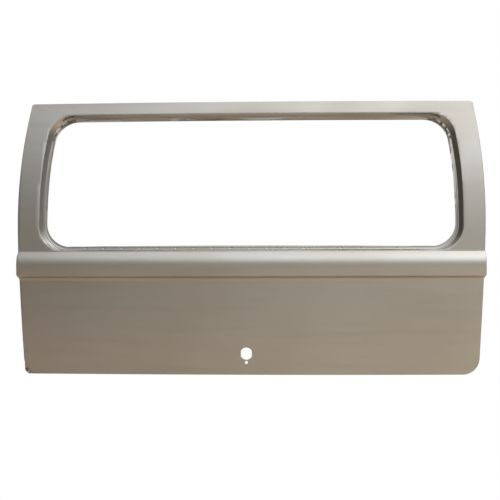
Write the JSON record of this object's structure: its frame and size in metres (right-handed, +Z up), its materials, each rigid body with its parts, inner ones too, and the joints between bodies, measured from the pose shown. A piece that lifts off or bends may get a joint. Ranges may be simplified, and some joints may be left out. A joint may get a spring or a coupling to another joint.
{
  "type": "van tailgate",
  "caption": "Bare pressed-steel van tailgate shell: recessed window opening, belt swage, lock hole and a welded inner frame, hung by bolts through its top rail.",
  "frame": {"origin": "middle of the flat hinge face along the inside of the top rail", "axes": "+X to the right as seen from outside, +Y into the vehicle, +Z up"},
  "size_m": [1.2828, 0.1282, 0.752],
  "materials": {
    "skin_steel": "bare satin sheet steel, unpainted",
    "frame_steel": "bare satin sheet steel, unpainted",
    "plate_steel": "bare rolled steel plate",
    "nut_steel": "bare turned steel"
  },
  "bodies": {
    "root": {"outer_skin": "skin_steel", "top_rail": "frame_steel", "left_window_post": "frame_steel", "right_window_post": "frame_steel", "waist_rail": "frame_steel", "left_side_stile": "frame_steel", "right_side_stile": "frame_steel", "lock_pillar": "frame_steel", "bottom_rail": "frame_steel", "left_hinge_plate": "plate_steel", "right_hinge_plate": "plate_steel", "latch_plate": "plate_steel", "lock_plate": "plate_steel", "left_inner_hinge_nut": "nut_steel", "left_outer_hinge_nut": "nut_steel", "left_lower_latch_nut": "nut_steel", "left_upper_latch_nut": "nut_steel", "right_inner_hinge_nut": "nut_steel", "right_outer_hinge_nut": "nut_steel", "right_lower_latch_nut": "nut_steel", "right_upper_latch_nut": "nut_steel"}
  },
  "joints": []
}
